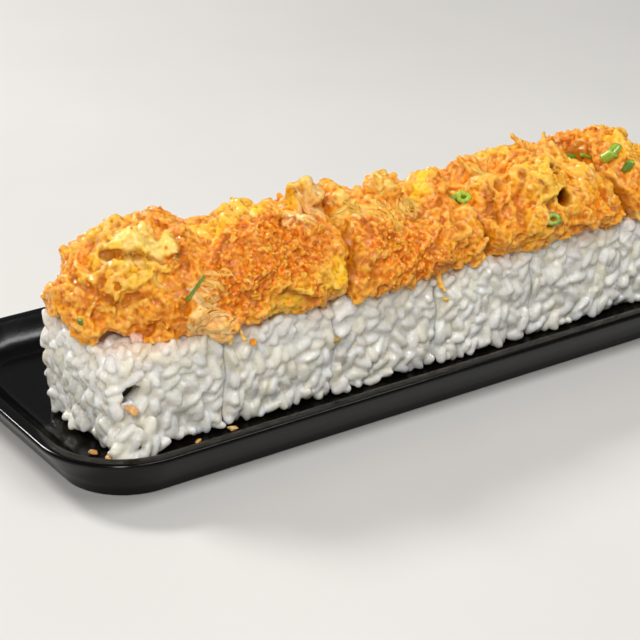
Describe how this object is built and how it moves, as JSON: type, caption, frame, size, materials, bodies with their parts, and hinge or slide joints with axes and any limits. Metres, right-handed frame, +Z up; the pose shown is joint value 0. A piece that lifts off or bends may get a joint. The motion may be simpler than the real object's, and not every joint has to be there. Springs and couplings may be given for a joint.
{
  "type": "volcano roll on a plate",
  "caption": "Rice-covered sushi roll in slices under a lumpy baked seafood topping with green onion, on a long black plate with a raised rim.",
  "frame": {"origin": "centre of the plate's foot, on the surface that the plate stands on", "axes": "+X along the roll from the end with the tall lump of topping, +Y from the roll towards the wide free side of the plate, +Z up"},
  "size_m": [0.245, 0.104, 0.065],
  "materials": {
    "plate": "satin black melamine",
    "rice": "moist cooked white rice",
    "nori": "moist dark seaweed",
    "topping": "glossy orange baked seafood, roe and mayonnaise"
  },
  "bodies": {
    "root": {"plate": "plate", "rice_slice_1": "rice", "rice_slice_2": "rice", "rice_slice_3": "rice", "rice_slice_4": "rice", "rice_slice_5": "rice", "rice_slice_6": "rice", "nori_core_1": "nori", "nori_core_2": "nori", "nori_core_3": "nori", "nori_core_4": "nori", "nori_core_5": "nori", "nori_core_6": "nori", "topping": "topping"}
  },
  "joints": []
}
